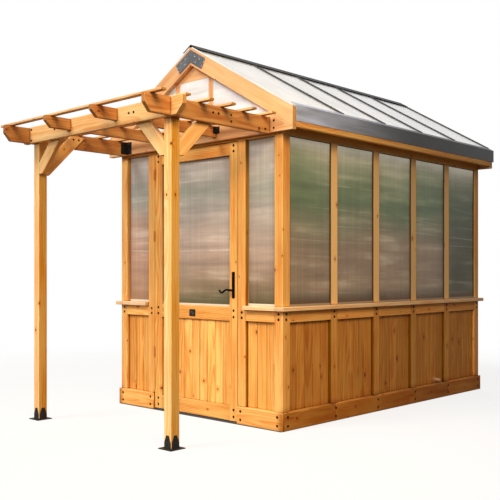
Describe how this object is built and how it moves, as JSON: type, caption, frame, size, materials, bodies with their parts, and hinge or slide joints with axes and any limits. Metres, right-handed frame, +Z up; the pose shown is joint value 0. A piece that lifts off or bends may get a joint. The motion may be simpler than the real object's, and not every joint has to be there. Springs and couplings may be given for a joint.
{
  "type": "wooden greenhouse",
  "caption": "Gabled wooden greenhouse with translucent wall and roof sheets, boarded lower walls, a hinged door with a lever latch, and a pergola porch on braced posts.",
  "frame": {"origin": "on the ground, in the middle of the whole footprint, porch included", "axes": "+Z up, +Y from the door to the rear wall, +X to the right of a person who faces the door"},
  "size_m": [1.926, 3.788, 2.6722],
  "materials": {
    "frame_wood": "oiled honey-coloured softwood, planed, with small knots",
    "board_wood": "oiled honey-coloured softwood boards with bevelled edges",
    "roof_wood": "oiled honey-coloured softwood, planed",
    "porch_wood": "oiled honey-coloured softwood, bleached a little by the sun",
    "door_wood": "oiled honey-coloured softwood, planed",
    "wall_sheet": "translucent twin-wall sheet with fine upright flutes",
    "roof_sheet": "translucent twin-wall sheet, nearly white",
    "charcoal_metal": "charcoal powder coat, satin",
    "grey_steel": "grey hammered coat",
    "black_steel": "black powder coat, matt",
    "handle_black": "black lacquered iron, satin",
    "latch_steel": "bright steel",
    "inlet_brass": "dulled brass",
    "black_rubber": "matt black"
  },
  "bodies": {
    "frame": {"corner_posts": "frame_wood", "side_wall_studs": "frame_wood", "rear_wall_studs": "frame_wood", "door_jambs": "frame_wood", "bottom_rails": "frame_wood", "belt_rails": "frame_wood", "skirt_boards": "frame_wood", "window_sills": "frame_wood", "side_top_plates": "frame_wood", "gable_lintels": "frame_wood", "right_wall_boards": "board_wood", "left_wall_boards": "board_wood", "front_wall_boards": "board_wood", "rear_wall_boards": "board_wood", "right_wall_glazing": "wall_sheet", "left_wall_glazing": "wall_sheet", "front_wall_glazing": "wall_sheet", "rear_wall_glazing": "wall_sheet", "gable_glazing": "wall_sheet", "common_rafters": "roof_wood", "ridge_board": "roof_wood", "front_barge_boards": "roof_wood", "rear_barge_boards": "roof_wood", "front_tie_beam": "roof_wood", "rear_tie_beam": "roof_wood", "gable_studs": "roof_wood", "gable_apex_panels": "roof_wood", "eave_fascias": "roof_wood", "apex_plates": "grey_steel", "right_roof_glazing": "roof_sheet", "left_roof_glazing": "roof_sheet", "right_glazing_bars": "charcoal_metal", "left_glazing_bars": "charcoal_metal", "ridge_cap": "charcoal_metal", "eave_flashings": "charcoal_metal", "pergola_posts": "porch_wood", "pergola_header": "porch_wood", "pergola_outer_rafters": "porch_wood", "pergola_inner_rafters": "porch_wood", "pergola_slats": "porch_wood", "header_knee_braces": "porch_wood", "rafter_knee_braces": "porch_wood", "post_anchors": "black_steel", "rafter_hangers": "black_steel", "hinge_frame_leaves": "black_steel", "hinge_pins": "black_steel", "hose_inlet": "inlet_brass", "strike_plate": "latch_steel"},
    "door": {"door_stiles": "door_wood", "door_rails": "door_wood", "door_boards": "door_wood", "door_glazing": "wall_sheet", "door_sweep": "black_rubber", "hinge_door_leaves": "black_steel", "handle_plates": "handle_black"},
    "lever": {"lever_handles": "handle_black", "lever_spindle": "latch_steel"},
    "latch": {"latch_bolt": "latch_steel"}
  },
  "joints": [
    {"name": "door_hinge", "type": "hinge", "parent": "frame", "child": "door", "pos_m": [-0.438, -0.819, 0], "axis": [0, 0, -1], "range_deg": [0, 85]},
    {"name": "lever_turn", "type": "hinge", "parent": "door", "child": "lever", "pos_m": [0.398, -0.812, 0.912], "axis": [0, -1, 0], "range_deg": [0, 40], "stiffness_Nm_per_rad": 0.8, "springref_deg": -28.65},
    {"name": "latch_slide", "type": "slide", "parent": "door", "child": "latch", "axis": [-1, 0, 0], "range_m": [0, 0.004]}
  ],
  "couplings": [
    {"joint": "latch_slide", "follows": "lever_turn", "m_per_rad": 0.0057}
  ]
}
